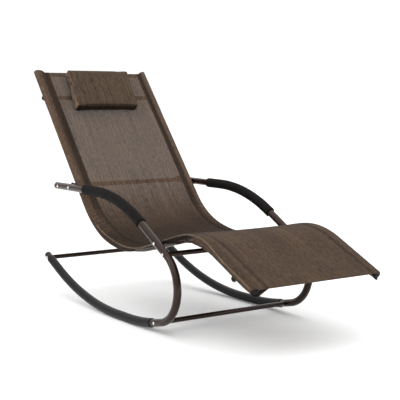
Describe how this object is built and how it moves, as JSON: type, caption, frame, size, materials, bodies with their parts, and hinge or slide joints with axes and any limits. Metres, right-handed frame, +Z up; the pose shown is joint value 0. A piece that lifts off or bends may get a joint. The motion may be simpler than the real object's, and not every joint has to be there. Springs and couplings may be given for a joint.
{
  "type": "rocking chaise lounge",
  "caption": "Rocking chaise lounge: a mesh sling on bent side rails, carried by curved tube sides with foam armrests and rubber treads, and a head pillow.",
  "frame": {"origin": "on the floor, under the middle of the whole outline, halfway from foot end to head end", "axes": "X runs across the seat with the sitter's left at +X, Y runs from the feet to the head, Z is up"},
  "size_m": [0.6486, 1.5978, 0.9753],
  "materials": {
    "frame": "satin",
    "rubber": "matte",
    "foam": "matte",
    "mesh": "matte",
    "pillow": "matte",
    "strip": "matte",
    "plug": "satin",
    "zinc": "polished"
  },
  "bodies": {
    "frame": {"arm_tube_right": "frame", "rocker_tube_right": "frame", "rubber_sleeve_right": "rubber", "foam_grip_right": "foam", "back_rail_right": "frame", "leg_rail_right": "frame", "rail_saddle_right": "frame", "arm_bracket_right": "frame", "seat_spacer_right": "plug", "arm_plug_right": "plug", "rocker_plug_right": "plug", "rail_head_plug_right": "plug", "rail_foot_plug_right": "plug", "head_bar_plug_right": "plug", "foot_bar_plug_right": "plug", "arm_end_bolt_right": "zinc", "back_bolt_right": "zinc", "seat_bolt_right": "zinc", "seat_bar_bolt_right": "zinc", "joint_bolt_right": "zinc", "rear_bolt_right": "zinc", "head_bar_screw_right": "zinc", "lumbar_bar_screw_right": "zinc", "foot_bar_screw_right": "zinc", "arm_tube_left": "frame", "rocker_tube_left": "frame", "rubber_sleeve_left": "rubber", "foam_grip_left": "foam", "back_rail_left": "frame", "leg_rail_left": "frame", "rail_saddle_left": "frame", "arm_bracket_left": "frame", "seat_spacer_left": "plug", "arm_plug_left": "plug", "rocker_plug_left": "plug", "rail_head_plug_left": "plug", "rail_foot_plug_left": "plug", "head_bar_plug_left": "plug", "foot_bar_plug_left": "plug", "arm_end_bolt_left": "zinc", "back_bolt_left": "zinc", "seat_bolt_left": "zinc", "seat_bar_bolt_left": "zinc", "joint_bolt_left": "zinc", "rear_bolt_left": "zinc", "head_bar_screw_left": "zinc", "lumbar_bar_screw_left": "zinc", "foot_bar_screw_left": "zinc", "head_crossbar": "frame", "lumbar_crossbar": "frame", "foot_crossbar": "frame", "seat_crossbar": "frame", "front_floor_bar": "frame", "rear_floor_bar": "frame", "sling": "mesh", "loop_strip": "strip"},
    "head_pillow": {"pillow": "pillow", "pillow_flap": "pillow", "hook_strip": "strip"}
  },
  "joints": [
    {"name": "pillow_slide", "type": "slide", "parent": "frame", "child": "head_pillow", "axis": [0, 0.6361, 0.7716], "range_m": [0, 0.03]}
  ]
}
